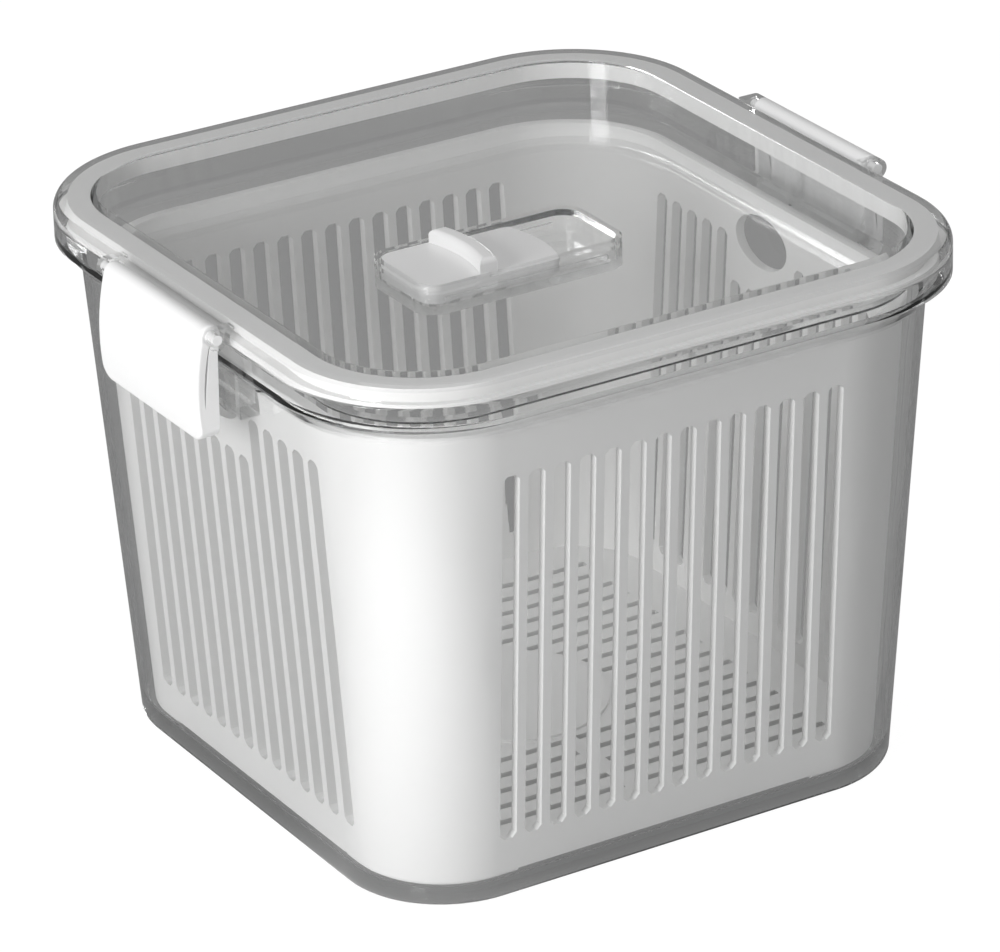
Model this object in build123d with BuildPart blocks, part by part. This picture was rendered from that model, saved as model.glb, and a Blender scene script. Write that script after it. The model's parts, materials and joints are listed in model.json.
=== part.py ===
from build123d import *
import os
from math import atan, cos, degrees, radians, sin, tan

# Square food keeper: a clear tub with a white draining basket inside, a clear lid with a soft
# seal, a sliding air vent in the lid and two latches that swing on lugs of the lid.
# Millimetres. +Z is up, the origin is the middle of the tub's base, the latches are at -X and +X.

# Driving sizes of the tub
tub_height = 168.6
base_width = 186.4
base_corner = 34.0
draft = 4.1
shoulder_rise = 7.0
rim_reach = 6.0
rim_face = 7.6
rim_corner = 46.5
tub_wall = 2.2
tub_floor = 2.5
tub_lip_round = 0.5
base_recess = 2.0
base_edge = 4.0
inside_edge = 5.0
foot_ring = 6.5

# Driving sizes of the basket
basket_gap = 2.8
basket_draft = 3.57
basket_headroom = 4.4
basket_wall = 3.0
basket_floor = 2.5
basket_edge = 1.8
basket_foot = 1.6
basket_floor_lift = 1.6
basket_foot_notch = 104.0
basket_lip_height = 2.6
basket_lip_reach = 0.9
basket_lip_round = 0.7
slot_count = 14
slot_pitch = 8.55
slot_width = 5.65
slot_bevel = 1.5
slot_above_base = 12.7
slot_below_mouth = 16.7
short_slot_below_mouth = 31.4
finger_hole_width = 28.0
finger_hole_height = 16.5
finger_hole_below_mouth = 14.4
drain_pitch = 8.55
drain_width = 2.6
drain_reach = 70.0
drain_web = 5.0
drain_rows = 17
disc_diameter = 66.0
disc_rise = 0.8

# Driving sizes of the lid
lid_rim_height = 5.7
lid_shoulder = 5.0
lid_channel = 13.5
lid_panel_drop = 14.2
lid_wall = 2.0
lid_skin = 1.8
lid_edge = 0.8
lid_plug_edge = 1.6
seal_height = 5.2
seal_width = 7.0
seal_fin_height = 1.2

# Driving sizes of the vent
vent_length = 72.0
vent_width = 35.0
vent_corner = 7.5
vent_depth = 9.4
vent_wall = 2.0
vent_lip = 1.2
vent_groove = 0.9
vent_groove_height = 1.6
vent_groove_level = 1.2
vent_slot_count = 3
vent_slot_pitch = 5.0
vent_slot_width = 3.0
vent_slot_length = 17.0
slider_travel = 18.7
slider_set = 0.4
slider_skin = 1.8
slider_step = 1.3
slider_bow = 3.0
pad_length = 21.0
pad_bevel = 0.25
grip_offset = 21.3
grip_width = 6.0
grip_height = 4.4
grip_bow = 2.4
grip_round = 1.8

# Driving sizes of the latches and of what they close on
latch_width = 60.0
latch_lap = 2.2
latch_skin = 2.8
latch_crown = 15.0
latch_splay = 4.6
latch_corner = 5.0
latch_round = 1.2
latch_cheek = 2.0
latch_cheek_depth = 6.0
hook_set = 5.0
hook_height = 4.6
hook_slant = 1.5
barrel_radius = 3.2
barrel_overhang = 1.1
pin_radius = 1.6
lug_thickness = 3.5
catch_margin = 8.0
catch_bar = 3.0
catch_bevel = 1.0
catch_depth = 14.2
gusset_thickness = 2.2
gusset_root = 1.0

# Named clearances
seat_gap = 0.3
running_gap = 0.06
side_gap = 0.3
pad_gap = 0.3
seal_bore_gap = 0.15
seal_gap = 0.4
hook_gap = 0.4
hinge_gap = 0.7

# Levels and half widths worked out from the driving sizes
base_half = base_width / 2
slope = tan(radians(draft))
flange_level = tub_height - rim_face
shoulder_level = flange_level - shoulder_rise
shoulder_half = base_half + shoulder_level * slope
rim_half = shoulder_half + rim_reach
shoulder_angle = degrees(atan(rim_reach / shoulder_rise))
floor_level = base_recess + tub_floor
skirt_level = tub_height + seat_gap
lid_top = skirt_level + lid_rim_height
recess_half = rim_half - lid_channel
panel_top = lid_top - lid_panel_drop
panel_bottom = panel_top - lid_wall
plug_half = recess_half + lid_wall
basket_inset = tub_wall + basket_gap
basket_base = floor_level + seat_gap
basket_top = panel_bottom - basket_headroom
basket_floor_level = basket_base + basket_foot + basket_floor_lift
channel_top = lid_top - lid_skin
vent_top = panel_top + vent_lip
vent_base = vent_top - vent_depth
vent_floor_level = vent_base + vent_wall
vent_inner_length = vent_length - 2 * vent_wall
vent_inner_width = vent_width - 2 * vent_wall
hinge_out = rim_half + hinge_gap + barrel_radius
hinge_level = skirt_level + barrel_radius - barrel_overhang
catch_level = flange_level - catch_depth
catch_width = latch_width + 2 * catch_margin
hook_high = catch_level - seat_gap
hook_low = hook_high - hook_height
latch_foot_level = hook_low - hook_slant - latch_lap
lug_near = latch_width / 2 + side_gap
lug_middle = lug_near + lug_thickness / 2
seal_low = channel_top - seal_height
vent_groove_length = vent_inner_length - 2 * (vent_corner - vent_wall)
slider_width = vent_inner_width - 2 * side_gap
slider_length = vent_inner_length - 2 * side_gap - slider_travel
slider_left = -vent_inner_length / 2 + side_gap
slider_right = slider_left + slider_length
slider_base = vent_floor_level + seat_gap + pad_gap
slider_top = vent_top - slider_set
slider_low_top = slider_top - slider_step
grip_middle = slider_left + grip_offset
pad_middle = slider_left + slider_skin + pad_length / 2
pad_width = slider_width - 2 * slider_skin


def rounded_square(level, inset, lean=slope):
    """Rounded square that widens with its level, that far inside the tub's base outline."""
    growth = level * lean - inset
    side = base_width + 2 * growth
    with BuildSketch(Plane.XY.offset(level)) as section:
        RectangleRounded(side, side, base_corner + growth)
    return section.sketch


def tapered_block(low, high, inset, angle=draft, mode=Mode.ADD):
    """Block whose walls lean outwards by an angle, drawn from the tub's base outline."""
    bottom = rounded_square(low, inset, tan(radians(angle)))
    extrude(bottom, amount=high - low, taper=-angle, mode=mode)


def rim_square(level, half):
    """Rounded square on the rim's corner centres, for the rim, the lid and the seal."""
    corner = rim_corner + half - rim_half
    with BuildSketch(Plane.XY.offset(level)) as section:
        RectangleRounded(2 * half, 2 * half, corner)
    return section.sketch


def rim_block(low, high, half, mode=Mode.ADD):
    """Upright block on the rim's corner centres."""
    extrude(rim_square(low, half), amount=high - low, mode=mode)


# Tub: the room inside it, then the shell with its shoulder, rim and latch catches
shoulder_shift = tub_wall * tan(radians(shoulder_angle / 2))
with BuildPart() as tub_room:
    tapered_block(floor_level, shoulder_level + shoulder_shift, tub_wall)
    fillet(tub_room.edges().group_by(Axis.Z)[0], inside_edge)
    mouth_low = shoulder_level + shoulder_shift
    mouth_half = base_half + mouth_low * slope - tub_wall
    mouth_rise = (rim_half - tub_wall - mouth_half) / tan(radians(shoulder_angle))
    extrude(rounded_square(mouth_low, tub_wall), amount=mouth_rise, taper=-shoulder_angle)
    rim_block(mouth_low + mouth_rise, lid_top, rim_half - tub_wall)

with BuildPart() as tub:
    tapered_block(0, shoulder_level, 0)
    fillet(tub.edges().group_by(Axis.Z)[0], base_edge)
    extrude(rounded_square(shoulder_level, 0), amount=shoulder_rise, taper=-shoulder_angle)
    rim_block(flange_level, tub_height, rim_half)
    # a bar for each latch's hook, hung from the shoulder on three gussets
    with BuildSketch(Plane.XZ) as catch_section:
        with Locations((0, catch_level + catch_bar / 2)):
            Rectangle(2 * rim_half, catch_bar)
        chamfer(catch_section.vertices().group_by(Axis.Y)[0], catch_bevel)
    extrude(amount=catch_width / 2, both=True)
    gusset_top = flange_level + gusset_root
    gusset_offset = (catch_width - gusset_thickness) / 2
    with BuildSketch(Plane.XY.offset(catch_level)):
        with Locations((0, -gusset_offset), (0, 0), (0, gusset_offset)):
            Rectangle(2 * rim_half, gusset_thickness)
    extrude(amount=gusset_top - catch_level)
    add(tub_room.part, mode=Mode.SUBTRACT)
    # the base stands on a ring, with the middle set back
    with BuildSketch():
        recess_side = 2 * (base_half - base_edge - foot_ring)
        RectangleRounded(recess_side, recess_side, base_corner - base_edge - foot_ring)
    extrude(amount=base_recess, mode=Mode.SUBTRACT)
    fillet(tub.edges().group_by(Axis.Z)[-1], tub_lip_round)

# Basket: drafted walls with upright slots, two finger holes and a floor with drain slots
slot_low = basket_base + slot_above_base
slot_high = basket_top - slot_below_mouth
short_slot_high = basket_top - short_slot_below_mouth
slot_offsets = [(i - (slot_count - 1) / 2) * slot_pitch for i in range(slot_count)]
under_hole = [y for y in slot_offsets if abs(y) < finger_hole_width / 2 + slot_width]
beside_hole = [y for y in slot_offsets if abs(y) >= finger_hole_width / 2 + slot_width]


def upright_slots(plane, offsets, high):
    """Slots with cut corners through both walls that face along the plane's normal."""
    with BuildSketch(plane) as slots:
        with Locations(*[(offset, (slot_low + high) / 2) for offset in offsets]):
            Rectangle(slot_width, high - slot_low)
        chamfer(slots.vertices(), slot_bevel)
    extrude(slots.sketch, amount=shoulder_half, both=True, mode=Mode.SUBTRACT)


with BuildPart() as basket:
    tapered_block(basket_base, basket_top, basket_inset, basket_draft)
    fillet(basket.edges().group_by(Axis.Z)[0], basket_edge)
    # lip round the mouth
    lip_low = basket_top - basket_lip_height
    tapered_block(lip_low, basket_top, basket_inset - basket_lip_reach, basket_draft)
    fillet(basket.edges().group_by(Axis.Z)[-1], basket_lip_round)
    # room inside, and the underside between the walls
    tapered_block(
        basket_floor_level + basket_floor,
        basket_top,
        basket_inset + basket_wall,
        basket_draft,
        mode=Mode.SUBTRACT,
    )
    tapered_block(
        basket_base,
        basket_floor_level,
        basket_inset + basket_wall,
        basket_draft,
        mode=Mode.SUBTRACT,
    )
    # the sides stand clear of the tub's floor, so only the corners are feet
    with BuildSketch(Plane.XY.offset(basket_base)):
        Rectangle(basket_foot_notch, 2 * rim_half)
        Rectangle(2 * rim_half, basket_foot_notch)
    extrude(amount=basket_foot, mode=Mode.SUBTRACT)
    upright_slots(Plane.XZ, slot_offsets, slot_high)
    upright_slots(Plane.YZ, beside_hole, slot_high)
    upright_slots(Plane.YZ, under_hole, short_slot_high)
    with BuildSketch(Plane.YZ):
        with Locations((0, basket_top - finger_hole_below_mouth)):
            Ellipse(finger_hole_width / 2, finger_hole_height / 2)
    extrude(amount=shoulder_half, both=True, mode=Mode.SUBTRACT)
    # drain slots in rows, cut short round a plain disc in the middle
    with BuildSketch(Plane.XY.offset(basket_floor_level)):
        drain_length = drain_reach - drain_web / 2
        drain_middle = (drain_reach + drain_web / 2) / 2
        for row in range(drain_rows):
            row_offset = (row - (drain_rows - 1) / 2) * drain_pitch
            with Locations((-drain_middle, row_offset), (drain_middle, row_offset)):
                Rectangle(drain_length, drain_width)
        Circle(disc_diameter / 2, mode=Mode.SUBTRACT)
    extrude(amount=basket_floor, mode=Mode.SUBTRACT)
    with BuildSketch(Plane.XY.offset(basket_floor_level + basket_floor)):
        Circle(disc_diameter / 2 - drain_width)
    extrude(amount=disc_rise)

# Lid: rim channel, sunken panel, vent well and the lugs that carry the latches
def lug_section(offset):
    """Outline of the two lugs at one place along Y, with the bores for the latches' pins."""
    root = rim_half - lid_skin
    reach = hinge_out - root
    low = skirt_level + seat_gap
    high = hinge_level + barrel_radius
    with BuildSketch(Plane.XZ.offset(-offset)) as outline:
        with Locations((-hinge_out, hinge_level), (hinge_out, hinge_level)):
            Circle(barrel_radius)
        with Locations(*[(side * (root + reach / 2), (low + high) / 2) for side in (-1, 1)]):
            Rectangle(reach, high - low)
        with Locations((-hinge_out, hinge_level), (hinge_out, hinge_level)):
            Circle(pin_radius + running_gap, mode=Mode.SUBTRACT)
    return outline.sketch


with BuildPart() as lid_plug:
    rim_block(panel_bottom, skirt_level + lid_skin, plug_half)
    fillet(lid_plug.edges().group_by(Axis.Z)[0], lid_plug_edge)

with BuildPart() as lid:
    rim_block(skirt_level, lid_top, rim_half)
    fillet(lid.edges().group_by(Axis.Z)[-1], lid_shoulder)
    for lug_offset in (-lug_middle, lug_middle):
        extrude(lug_section(lug_offset), amount=lug_thickness / 2, both=True)
    rim_block(skirt_level, channel_top, rim_half - lid_skin, mode=Mode.SUBTRACT)
    rim_block(skirt_level, channel_top, plug_half)
    add(lid_plug.part)
    rim_block(panel_top, lid_top, recess_half, mode=Mode.SUBTRACT)
    fillet(lid.faces().sort_by(Axis.Z)[-1].inner_wires()[0].edges(), lid_edge)
    # vent well, sunk through the panel, with a groove for the slider in each long wall
    with BuildSketch(Plane.XY.offset(vent_base)):
        RectangleRounded(vent_length, vent_width, vent_corner)
    extrude(amount=vent_depth)
    with BuildSketch(Plane.XY.offset(vent_floor_level)):
        RectangleRounded(vent_inner_length, vent_inner_width, vent_corner - vent_wall)
    extrude(amount=vent_depth, mode=Mode.SUBTRACT)
    with Locations((0, 0, vent_floor_level + vent_groove_level)):
        Box(
            vent_groove_length,
            vent_inner_width + 2 * vent_groove,
            vent_groove_height,
            align=(Align.CENTER, Align.CENTER, Align.MIN),
            mode=Mode.SUBTRACT,
        )
    with BuildSketch(Plane.XY.offset(vent_base)):
        with Locations((pad_middle, 0)):
            with GridLocations(vent_slot_pitch, 0, vent_slot_count, 1):
                SlotOverall(vent_slot_length, vent_slot_width, rotation=90)
    extrude(amount=vent_wall, mode=Mode.SUBTRACT)

# Seal: a soft ring held in the lid's channel, with a fin towards the tub's rim
with BuildPart() as lid_seal:
    rim_block(seal_low, channel_top, plug_half + seal_width)
    rim_block(seal_low, seal_low + seal_fin_height, rim_half - tub_wall - seal_gap)
    rim_block(seal_low, channel_top, plug_half + seal_bore_gap, mode=Mode.SUBTRACT)

# Vent slider: a hollow cover with a curved grip, and rails that run in the well's grooves
with BuildPart() as vent_slider:
    with BuildSketch(Plane.XY.offset(slider_base)):
        with Locations((slider_left + slider_length / 2, 0)):
            RectangleRounded(slider_length, slider_width, vent_corner - vent_wall - side_gap)
        bow_radius = ((slider_width / 2) ** 2 + slider_bow**2) / (2 * slider_bow)
        with Locations((slider_right - bow_radius, 0)):
            Circle(bow_radius, mode=Mode.INTERSECT)
    extrude(amount=slider_top - slider_base)
    # the cover is lower past the grip
    with BuildSketch(Plane.XY.offset(slider_low_top)):
        with Locations((grip_middle + slider_length / 2, 0)):
            Rectangle(slider_length, vent_width)
    extrude(amount=slider_step, mode=Mode.SUBTRACT)
    # grip, a bowed ridge across the cover
    with BuildSketch(Plane.XY.offset(slider_low_top)):
        with BuildLine():
            grip_near = grip_middle - grip_width / 2
            grip_far = grip_middle + grip_width / 2
            grip_end = slider_width / 2 - side_gap
            near_bow = ThreePointArc(
                (grip_near, -grip_end), (grip_near + grip_bow, 0), (grip_near, grip_end)
            )
            far_bow = ThreePointArc(
                (grip_far, grip_end), (grip_far + grip_bow, 0), (grip_far, -grip_end)
            )
            Line(near_bow @ 1, far_bow @ 0)
            Line(far_bow @ 1, near_bow @ 0)
        make_face()
    extrude(amount=grip_height + slider_step)
    fillet(vent_slider.edges().group_by(Axis.Z)[-1], grip_round)
    # rails that run in the well's grooves
    rail_length = vent_groove_length - 2 * side_gap - slider_travel
    rail_height = vent_groove_height - 2 * side_gap
    rail_low = vent_floor_level + vent_groove_level + side_gap
    with BuildSketch(Plane.XY.offset(rail_low)):
        with Locations(((rail_length - vent_groove_length) / 2 + side_gap, 0)):
            Rectangle(rail_length, slider_width + 2 * vent_groove)
    extrude(amount=rail_height)
    # hollow underside: a pocket for the pad and one beyond it
    pocket_top = slider_low_top - slider_skin
    far_pocket = pad_middle + pad_length / 2 + slider_skin
    far_length = slider_right - slider_bow - slider_skin - far_pocket
    with BuildSketch(Plane.XY.offset(slider_base)):
        with Locations((pad_middle, 0)):
            Rectangle(pad_length, pad_width)
        with Locations((far_pocket + far_length / 2, 0)):
            Rectangle(far_length, pad_width)
    extrude(amount=pocket_top - slider_base, mode=Mode.SUBTRACT)

# Pad: soft block in the slider that lies over the vent's slots
with BuildPart() as vent_pad:
    with BuildSketch(Plane.XY.offset(slider_base - pad_gap)):
        with Locations((pad_middle, 0)):
            Rectangle(pad_length, pad_width)
    extrude(amount=pocket_top - slider_base + pad_gap)
    chamfer(vent_pad.edges().group_by(Axis.Z)[0], pad_bevel)


# Latches: a bowed cover with a barrel and pins at the top, cheeks and a hook inside
def cover_outline(plane):
    """Section of a latch's cover: the barrel round the hinge line and the bowed skin below it."""
    crown = radians(latch_crown)
    head = (hinge_out + barrel_radius * cos(crown), hinge_level + barrel_radius * sin(crown))
    foot = (hinge_out + latch_splay, latch_foot_level)
    with BuildSketch(plane) as outline:
        with BuildLine():
            skin = TangentArc(head, foot, tangent=(sin(crown), -cos(crown)))
            belly = skin @ 0.5
            lining = ThreePointArc(
                (foot[0] - latch_skin, foot[1]),
                (belly.X - latch_skin, belly.Y),
                (hinge_out, hinge_level),
            )
            Line(skin @ 1, lining @ 0)
            Line(lining @ 1, skin @ 0)
        make_face()
        with Locations((hinge_out, hinge_level)):
            Circle(barrel_radius)
    return outline.sketch


def hook_outline(plane):
    """Section of a latch's hook, which reaches under the tub's catch bar."""
    hook_tip = rim_half + hook_gap
    hook_root = hinge_out + latch_splay - latch_skin / 2
    with BuildSketch(plane) as outline:
        with BuildLine():
            Polyline(
                (hook_tip, hook_high),
                (hook_root, hook_high),
                (hook_root, hook_low - hook_slant),
                (hook_tip, hook_low + hook_slant),
                close=True,
            )
        make_face()
    return outline.sketch


def cheek_outline(plane):
    """Side wall of a latch, from its hinge to its foot."""
    foot_out = hinge_out + latch_splay - latch_skin / 2
    foot_in = hinge_out + latch_splay - latch_cheek_depth
    with BuildSketch(plane) as outline:
        with BuildLine():
            Polyline(
                (hinge_out - barrel_radius + latch_round, hinge_level),
                (hinge_out, hinge_level + barrel_radius / 2),
                (foot_out, catch_level),
                (foot_out, latch_foot_level),
                (foot_in, latch_foot_level + hook_slant),
                close=True,
            )
        make_face()
    return outline.sketch


def cut_to_face():
    """Cut what stands outside a latch's face as it is seen from the side, with round corners."""
    with BuildSketch(Plane.YZ) as face_shape:
        with Locations((0, hinge_level)):
            RectangleRounded(latch_width, 2 * (hinge_level - latch_foot_level), latch_corner)
    extrude(face_shape.sketch, amount=2 * rim_half, both=True, mode=Mode.INTERSECT)


def make_latch(side):
    """Latch on the side where X has that sign."""
    middle = Plane(origin=(0, 0, 0), x_dir=(side, 0, 0), z_dir=(0, -side, 0))
    with BuildPart() as cheeks:
        for end in (-1, 1):
            cheek_middle = end * (latch_width - latch_cheek) / 2
            cheek = cheek_outline(middle.offset(cheek_middle))
            extrude(cheek, amount=latch_cheek / 2, both=True)
        cut_to_face()
    with BuildPart() as latch:
        extrude(cover_outline(middle), amount=latch_width / 2, both=True)
        cut_to_face()
        # the skin runs smoothly into the barrel, so its highest edge stays as it is
        cover = latch.faces().sort_by(SortBy.AREA)[-1]
        fillet(cover.edges().sort_by(Axis.Z)[:-1], latch_round)
        extrude(hook_outline(middle), amount=latch_width / 2 - hook_set, both=True)
        add(cheeks.part)
        # a pin at each end, in the lugs' bores
        for end in (-1, 1):
            pin_length = lug_thickness + side_gap
            with BuildSketch(middle.offset(end * (latch_width + pin_length) / 2)) as pin:
                with Locations((hinge_out, hinge_level)):
                    Circle(pin_radius)
            extrude(pin.sketch, amount=pin_length / 2, both=True)
    return latch


latch_left = make_latch(-1)
latch_right = make_latch(1)

os.makedirs("parts", exist_ok=True)
pieces = {
    "tub": tub,
    "basket": basket,
    "lid": lid,
    "lid_seal": lid_seal,
    "vent_slider": vent_slider,
    "vent_pad": vent_pad,
    "latch_left": latch_left,
    "latch_right": latch_right,
}
for name, piece in pieces.items():
    piece.part.label = name
    export_step(piece.part, f"parts/{name}.step")
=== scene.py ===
import bmesh
import bpy
import json
import math
from mathutils import Matrix, Vector

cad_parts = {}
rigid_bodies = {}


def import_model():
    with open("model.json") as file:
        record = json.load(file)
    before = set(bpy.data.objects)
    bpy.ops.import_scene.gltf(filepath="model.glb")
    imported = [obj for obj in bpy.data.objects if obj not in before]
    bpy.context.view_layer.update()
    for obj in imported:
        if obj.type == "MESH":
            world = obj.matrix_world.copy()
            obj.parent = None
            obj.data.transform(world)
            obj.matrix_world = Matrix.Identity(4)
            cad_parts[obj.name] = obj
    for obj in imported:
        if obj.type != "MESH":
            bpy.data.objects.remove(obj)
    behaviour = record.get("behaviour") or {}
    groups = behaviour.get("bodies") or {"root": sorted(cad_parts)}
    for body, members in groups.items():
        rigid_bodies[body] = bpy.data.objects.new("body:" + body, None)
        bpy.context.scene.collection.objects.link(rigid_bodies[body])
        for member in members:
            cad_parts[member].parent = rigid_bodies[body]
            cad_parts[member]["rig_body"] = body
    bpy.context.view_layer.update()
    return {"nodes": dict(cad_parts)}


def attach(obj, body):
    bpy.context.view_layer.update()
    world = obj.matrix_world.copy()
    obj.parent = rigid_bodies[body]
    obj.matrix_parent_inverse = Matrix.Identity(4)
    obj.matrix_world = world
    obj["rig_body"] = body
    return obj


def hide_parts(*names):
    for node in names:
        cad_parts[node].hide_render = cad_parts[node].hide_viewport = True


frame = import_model()

# Camera, from a fit to the photo's outlines: angles in degrees, lengths in metres, the lens in millimetres
# and the shifts as shares of the picture's width
VIEW_AZIMUTH = -30.769
VIEW_ELEVATION = 24.701
VIEW_ROLL = -1.604
VIEW_TARGET = Vector((0.0, 0.0, 0.088))
VIEW_DISTANCE = 1.8219
LENS = 215.896
SHIFT_X = -0.00477
SHIFT_Y = -0.00644
NEAREST_SEEN = 0.05
FARTHEST_SEEN = 50.0

# Smoothing of the nodes' meshes
MERGE_DISTANCE = 1e-6
SMOOTH_ANGLE = math.radians(32)

# The seal's top is lowered by this much, so that it doesn't coincide with the lid's face over it
SEAL_DROP = 0.00004

# Clear plastic of the tub and the lid. It bends light less than the real one, which keeps the thick edges
# light, and its coat has the real one's gloss
CLEAR_IOR = 1.07
CLEAR_GLOSS_IOR = 1.49
CLEAR_ROUGHNESS = 0.02
CLEAR_TINT = (0.97, 0.97, 0.97, 1.0)
SMOKE_COLOUR = (0.55, 0.56, 0.56, 1.0)

# Flow marks and scuffs in the clear plastic
FLOW_SCALE = 18.0
FLOW_ROUGHNESS = 0.03
SCUFF_SCALE = 900.0
SCUFF_SHARE = 0.1
MARKS_STRENGTH = 0.05
MARKS_DEPTH = 0.0004

# White plastics and silicones: a faint cloudiness and a fine grain
WHITE_IOR = 1.5
WHITE_COAT_ROUGHNESS = 0.08
CLOUD_SCALE = 30.0
CLOUD_DARKENING = 0.97
CLOUD_ROUGHNESS = 0.06
GRAIN_ROUGHNESS = 0.08
GRAIN_STRENGTH = 0.25
NOISE_MIDDLE = 0.5

# Floor: its half width, how far it lies under the object, its colour, and how bright it shows to the camera,
# through clear pieces and in reflections
FLOOR_HALF = 3.0
FLOOR_SINK = 0.0002
FLOOR_COLOUR = (0.85, 0.85, 0.85, 1.0)
FLOOR_TO_CAMERA = 1.07
FLOOR_THROUGH_CLEAR = 0.24
FLOOR_MIRRORED = 0.22

# The floor's glow covers this share of it, and the rest keeps the object's shadow
FLOOR_GLOW_SHARE = 0.9

# Bright place on the floor that only reflections show, as a soft light on the tub's corner
SPOT_PLACE = (-0.2, -0.17)
SPOT_REACH = 0.2
SPOT_STRENGTH = 4.0

# World: how strongly it lights the object, and how bright it shows to the camera, through clear pieces and in
# reflections
WORLD_LIGHT = 0.36
WORLD_TO_CAMERA = 1.0
WORLD_THROUGH_CLEAR = 0.4
WORLD_MIRRORED = 0.2

WHITE = (1.0, 1.0, 1.0, 1.0)

# Light bounces, enough for rays that run along inside the clear walls
CLEAR_BOUNCES = 28
SEE_THROUGH_BOUNCES = 24
MATT_BOUNCES = 5


def place_camera():
    """Camera at the photo's view."""
    azimuth = math.radians(VIEW_AZIMUTH)
    elevation = math.radians(VIEW_ELEVATION)
    roll = math.radians(VIEW_ROLL)
    back = Vector(
        (
            math.sin(azimuth) * math.cos(elevation),
            -math.cos(azimuth) * math.cos(elevation),
            math.sin(elevation),
        )
    )
    level_right = Vector((math.cos(azimuth), math.sin(azimuth), 0))
    level_up = back.cross(level_right)
    right = math.cos(roll) * level_right + math.sin(roll) * level_up
    up = math.cos(roll) * level_up - math.sin(roll) * level_right
    data = bpy.data.cameras.new("photo_view")
    data.lens = LENS
    data.sensor_fit = "HORIZONTAL"
    data.shift_x = SHIFT_X
    data.shift_y = SHIFT_Y
    data.clip_start = NEAREST_SEEN
    data.clip_end = FARTHEST_SEEN
    camera = bpy.data.objects.new("photo_view", data)
    turn = Matrix((right, up, back)).transposed().to_4x4()
    camera.matrix_world = Matrix.Translation(VIEW_TARGET + back * VIEW_DISTANCE) @ turn
    bpy.context.scene.collection.objects.link(camera)
    bpy.context.scene.camera = camera


class Wire:
    """A shader socket that adds Math nodes where it is used in an expression."""

    def __init__(self, shader, socket):
        self.shader = shader
        self.socket = socket

    def maths(self, operation, *values):
        return self.shader.node("ShaderNodeMath", {"operation": operation}, dict(enumerate(values))).out(0)

    def __add__(self, other):
        return self.maths("ADD", self, other)

    def __radd__(self, other):
        return self.maths("ADD", other, self)

    def __sub__(self, other):
        return self.maths("SUBTRACT", self, other)

    def __rsub__(self, other):
        return self.maths("SUBTRACT", other, self)

    def __mul__(self, other):
        return self.maths("MULTIPLY", self, other)

    def __rmul__(self, other):
        return self.maths("MULTIPLY", other, self)

    def at_least(self, other):
        return self.maths("MAXIMUM", self, other)


class Node:
    """A shader node whose outputs come back as wires."""

    def __init__(self, shader, node):
        self.shader = shader
        self.node = node

    def out(self, name):
        return Wire(self.shader, self.node.outputs[name])


class Shader:
    """A new node material, or the world, with its tree cleared."""

    def __init__(self, owner):
        self.owner = owner
        owner.use_nodes = True
        self.tree = owner.node_tree
        self.tree.nodes.clear()

    def node(self, kind, settings=None, sockets=None):
        made = self.tree.nodes.new(kind)
        for name, value in (settings or {}).items():
            setattr(made, name, value)
        for name, value in (sockets or {}).items():
            if isinstance(value, Wire):
                self.tree.links.new(value.socket, made.inputs[name])
            else:
                made.inputs[name].default_value = value
        return Node(self, made)

    def place(self):
        return self.node("ShaderNodeTexCoord").out("Object")

    def noise(self, scale, detail):
        sockets = {"Vector": self.place(), "Scale": scale, "Detail": detail}
        return self.node("ShaderNodeTexNoise", {}, sockets).out("Fac")

    def blend(self, factor, first, second):
        """Mix of two colours, which are the node's inputs 6 and 7 and its output 2."""
        sockets = {"Factor": factor, 6: first, 7: second}
        return self.node("ShaderNodeMix", {"data_type": "RGBA"}, sockets).out(2)

    def bump(self, height, strength, distance):
        sockets = {"Strength": strength, "Distance": distance, "Height": height}
        return self.node("ShaderNodeBump", {}, sockets).out("Normal")

    def mix_surfaces(self, factor, first, second):
        """The first surface where the factor is 0, the second where it is 1."""
        return self.node("ShaderNodeMixShader", {}, {0: factor, 1: first, 2: second}).out("Shader")

    def rays(self):
        """Masks of the rays from the camera, of those through clear pieces and of mirrored ones."""
        path = self.node("ShaderNodeLightPath")
        through = path.out("Is Transmission Ray")
        return path.out("Is Camera Ray"), through, path.out("Is Glossy Ray") * (1.0 - through)


def new_material(name):
    return Shader(bpy.data.materials.new(name))


def clear_plastic(name, smoke):
    """Clear, faintly smoky moulded plastic, which lets lamps through to what is inside."""
    shader = new_material(name)
    flow = shader.noise(FLOW_SCALE, detail=2.0)
    scuffs = shader.noise(SCUFF_SCALE, detail=1.0)
    marks = flow * (1.0 - SCUFF_SHARE) + scuffs * SCUFF_SHARE
    body = shader.node(
        "ShaderNodeBsdfPrincipled",
        {},
        {
            "Base Color": WHITE,
            "Roughness": CLEAR_ROUGHNESS + FLOW_ROUGHNESS * flow,
            "IOR": CLEAR_IOR,
            "Transmission Weight": 1.0,
            "Coat Weight": 1.0,
            "Coat Roughness": CLEAR_ROUGHNESS,
            "Coat IOR": CLEAR_GLOSS_IOR,
            "Normal": shader.bump(marks, MARKS_STRENGTH, MARKS_DEPTH),
        },
    ).out("BSDF")
    open_path = shader.node("ShaderNodeBsdfTransparent", {}, {"Color": CLEAR_TINT}).out("BSDF")
    path = shader.node("ShaderNodeLightPath")
    lighting = path.out("Is Shadow Ray").at_least(path.out("Is Diffuse Ray"))
    surface = shader.mix_surfaces(lighting, body, open_path)
    absorption = {"Color": SMOKE_COLOUR, "Density": smoke}
    inside = shader.node("ShaderNodeVolumeAbsorption", {}, absorption).out("Volume")
    shader.node("ShaderNodeOutputMaterial", {}, {"Surface": surface, "Volume": inside})
    return shader.owner


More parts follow.
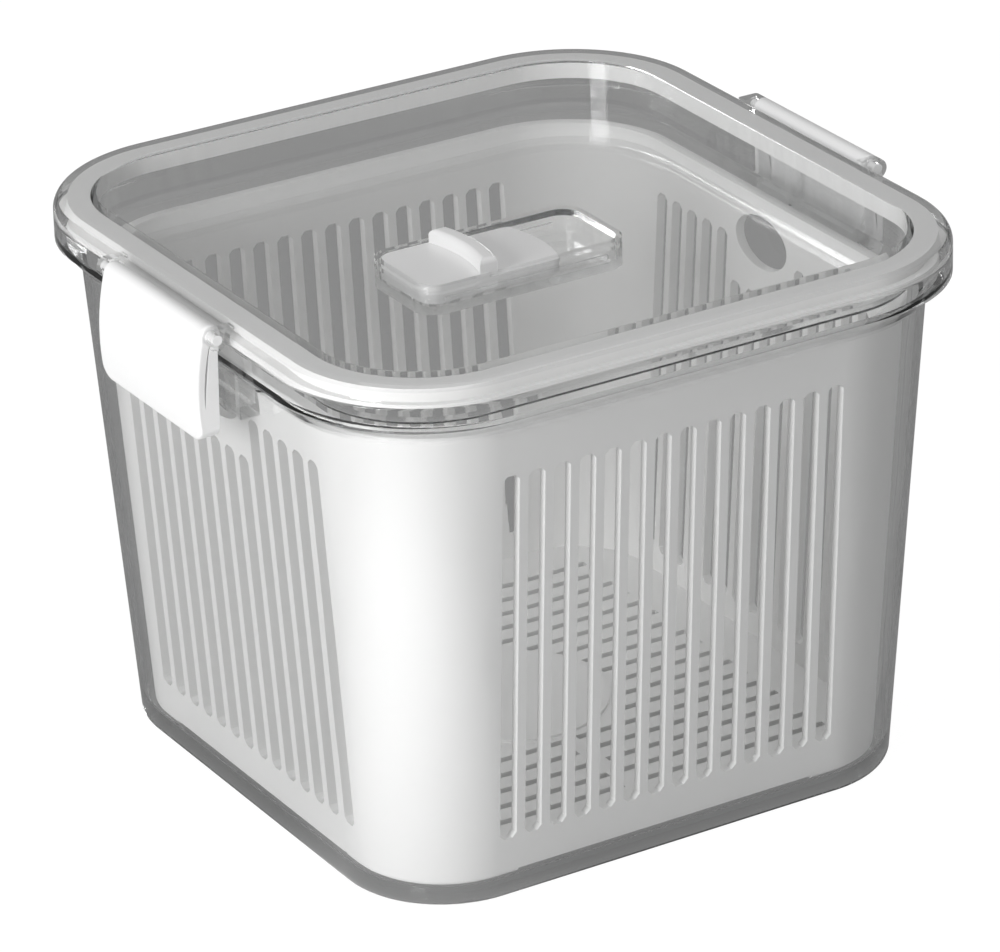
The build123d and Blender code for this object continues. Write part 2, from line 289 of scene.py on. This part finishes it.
def white_plastic(name, colour, roughness, grain, grain_depth, coat=0.0):
    """Opaque white moulded plastic or silicone with a fine grain."""
    shader = new_material(name)
    cloud = shader.noise(CLOUD_SCALE, detail=3.0)
    fine = shader.noise(grain, detail=2.0)
    darker = tuple(CLOUD_DARKENING * channel for channel in colour)
    grainy_roughness = roughness + GRAIN_ROUGHNESS * (fine - NOISE_MIDDLE)
    body = shader.node(
        "ShaderNodeBsdfPrincipled",
        {},
        {
            "Base Color": shader.blend(cloud, darker + (1.0,), colour + (1.0,)),
            "Roughness": grainy_roughness + CLOUD_ROUGHNESS * (cloud - NOISE_MIDDLE),
            "IOR": WHITE_IOR,
            "Coat Weight": coat,
            "Coat Roughness": WHITE_COAT_ROUGHNESS,
            "Normal": shader.bump(fine, GRAIN_STRENGTH, grain_depth),
        },
    ).out("BSDF")
    shader.node("ShaderNodeOutputMaterial", {}, {"Surface": body})
    return shader.owner


clear_tub = clear_plastic("clear_tub", smoke=48.0)
clear_lid = clear_plastic("clear_lid", smoke=38.4)
basket_white = white_plastic(
    "basket_white", colour=(0.86, 0.86, 0.855), roughness=0.42, grain=2600.0, grain_depth=0.00003
)
seal_silicone = white_plastic(
    "seal_silicone", colour=(0.88, 0.88, 0.875), roughness=0.55, grain=1800.0, grain_depth=0.00003
)
pad_silicone = white_plastic(
    "pad_silicone", colour=(0.86, 0.86, 0.855), roughness=0.6, grain=1800.0, grain_depth=0.00003
)
slider_white = white_plastic(
    "slider_white", colour=(0.86, 0.86, 0.86), roughness=0.3, grain=3000.0, grain_depth=0.00001
)
latch_white = white_plastic(
    "latch_white", colour=(0.87, 0.87, 0.87), roughness=0.3, grain=2600.0, grain_depth=0.00001, coat=0.2
)

finishes = {
    "tub": clear_tub,
    "lid": clear_lid,
    "basket": basket_white,
    "lid_seal": seal_silicone,
    "vent_pad": pad_silicone,
    "vent_slider": slider_white,
    "latch_left": latch_white,
    "latch_right": latch_white,
}


def merge_and_smooth(mesh, drop):
    """Join the mesh's loose triangles, lower its top by the drop, and smooth all but its sharp edges."""
    work = bmesh.new()
    work.from_mesh(mesh)
    bmesh.ops.remove_doubles(work, verts=work.verts, dist=MERGE_DISTANCE)
    top = max(vert.co.z for vert in work.verts)
    for vert in work.verts:
        if vert.co.z > top - MERGE_DISTANCE:
            vert.co.z -= drop
    for face in work.faces:
        face.smooth = True
    for edge in work.edges:
        edge.smooth = len(edge.link_faces) == 2 and edge.calc_face_angle() < SMOOTH_ANGLE
    work.to_mesh(mesh)
    work.free()
    if "custom_normal" in mesh.attributes:
        mesh.attributes.remove(mesh.attributes["custom_normal"])


def shade_evenly(piece):
    """Let the large faces settle the shading of the rounds beside them."""
    even = piece.modifiers.new("even_shading", "WEIGHTED_NORMAL")
    even.mode = "FACE_AREA"
    even.keep_sharp = True
    evaluated = piece.evaluated_get(bpy.context.evaluated_depsgraph_get())
    piece.data = bpy.data.meshes.new_from_object(evaluated)
    piece.modifiers.clear()


def dress(node):
    """Stand-in for a node: the same mesh, merged and smooth, with its finish."""
    source = frame["nodes"][node]
    mesh = source.data.copy()
    mesh.name = node + "_mesh"
    merge_and_smooth(mesh, SEAL_DROP if node == "lid_seal" else 0.0)
    mesh.materials.clear()
    mesh.materials.append(finishes[node])
    piece = bpy.data.objects.new(node + "_finish", mesh)
    bpy.context.scene.collection.objects.link(piece)
    shade_evenly(piece)
    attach(piece, source["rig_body"])
    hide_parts(node)


def area_lamp(name, place, aim, size, power, mirrored=True):
    """Soft lamp that points at a place, and shows in glossy surfaces unless told otherwise."""
    data = bpy.data.lights.new(name, "AREA")
    data.shape = "RECTANGLE"
    data.size = size[0]
    data.size_y = size[1]
    data.energy = power
    lamp = bpy.data.objects.new(name, data)
    lamp.location = place
    lamp.rotation_euler = (Vector(aim) - Vector(place)).to_track_quat("-Z", "Y").to_euler()
    lamp.visible_camera = False
    lamp.visible_glossy = mirrored
    bpy.context.scene.collection.objects.link(lamp)


def make_stage():
    """Pale floor that shows white to the camera and keeps a faint shadow."""
    corners = [(x * FLOOR_HALF, y * FLOOR_HALF, 0) for x, y in ((-1, -1), (1, -1), (1, 1), (-1, 1))]
    mesh = bpy.data.meshes.new("floor")
    mesh.from_pydata(corners, [], [(0, 1, 2, 3)])
    floor = bpy.data.objects.new("floor", mesh)
    floor.location.z = -FLOOR_SINK
    bpy.context.scene.collection.objects.link(floor)
    shader = new_material("pale_floor")
    matt = shader.node("ShaderNodeBsdfDiffuse", {}, {"Color": FLOOR_COLOUR}).out("BSDF")
    camera, through, mirrored = shader.rays()
    axes = shader.node("ShaderNodeSeparateXYZ", {}, {"Vector": shader.place()})
    aside = (axes.out("X") - SPOT_PLACE[0]) * (1 / SPOT_REACH)
    ahead = (axes.out("Y") - SPOT_PLACE[1]) * (1 / SPOT_REACH)
    spot = (1.0 - (aside * aside + ahead * ahead)).at_least(0.0)
    reflected = mirrored * (FLOOR_MIRRORED + SPOT_STRENGTH * spot * spot)
    strength = FLOOR_TO_CAMERA * camera + FLOOR_THROUGH_CLEAR * through + reflected
    glow = shader.node("ShaderNodeEmission", {}, {"Color": WHITE, "Strength": strength}).out("Emission")
    seen = camera.at_least(through).at_least(mirrored)
    surface = shader.mix_surfaces(seen * FLOOR_GLOW_SHARE, matt, glow)
    shader.node("ShaderNodeOutputMaterial", {}, {"Surface": surface})
    mesh.materials.append(shader.owner)


def make_world():
    """White behind the object for the camera, plain grey light elsewhere."""
    world = bpy.data.worlds.new("studio")
    bpy.context.scene.world = world
    shader = Shader(world)
    camera, through, mirrored = shader.rays()
    strength = (
        WORLD_LIGHT
        + (WORLD_TO_CAMERA - WORLD_LIGHT) * camera
        + (WORLD_THROUGH_CLEAR - WORLD_LIGHT) * through
        - (WORLD_LIGHT - WORLD_MIRRORED) * mirrored
    )
    light = shader.node("ShaderNodeBackground", {}, {"Color": WHITE, "Strength": strength})
    shader.node("ShaderNodeOutputWorld", {}, {"Surface": light.out("Background")})


for node_name in frame["nodes"]:
    dress(node_name)

place_camera()
make_stage()
make_world()
area_lamp("key", place=(-1.4, -0.54, 0.48), aim=(0, 0, 0.09), size=(0.5, 0.8), power=18.5)
area_lamp("top", place=(0.1, 0.1, 1.5), aim=(0, 0, 0.1), size=(1.0, 1.0), power=4.0)
area_lamp("fill", place=(1.2, 1.0, 0.28), aim=(0, 0, 0.09), size=(0.8, 0.36), power=6.5, mirrored=False)

view = bpy.context.scene.view_settings
view.view_transform = "Standard"
cycles = bpy.context.scene.cycles
cycles.transparent_max_bounces = SEE_THROUGH_BOUNCES
cycles.max_bounces = CLEAR_BOUNCES
cycles.diffuse_bounces = MATT_BOUNCES
cycles.glossy_bounces = CLEAR_BOUNCES
cycles.transmission_bounces = CLEAR_BOUNCES
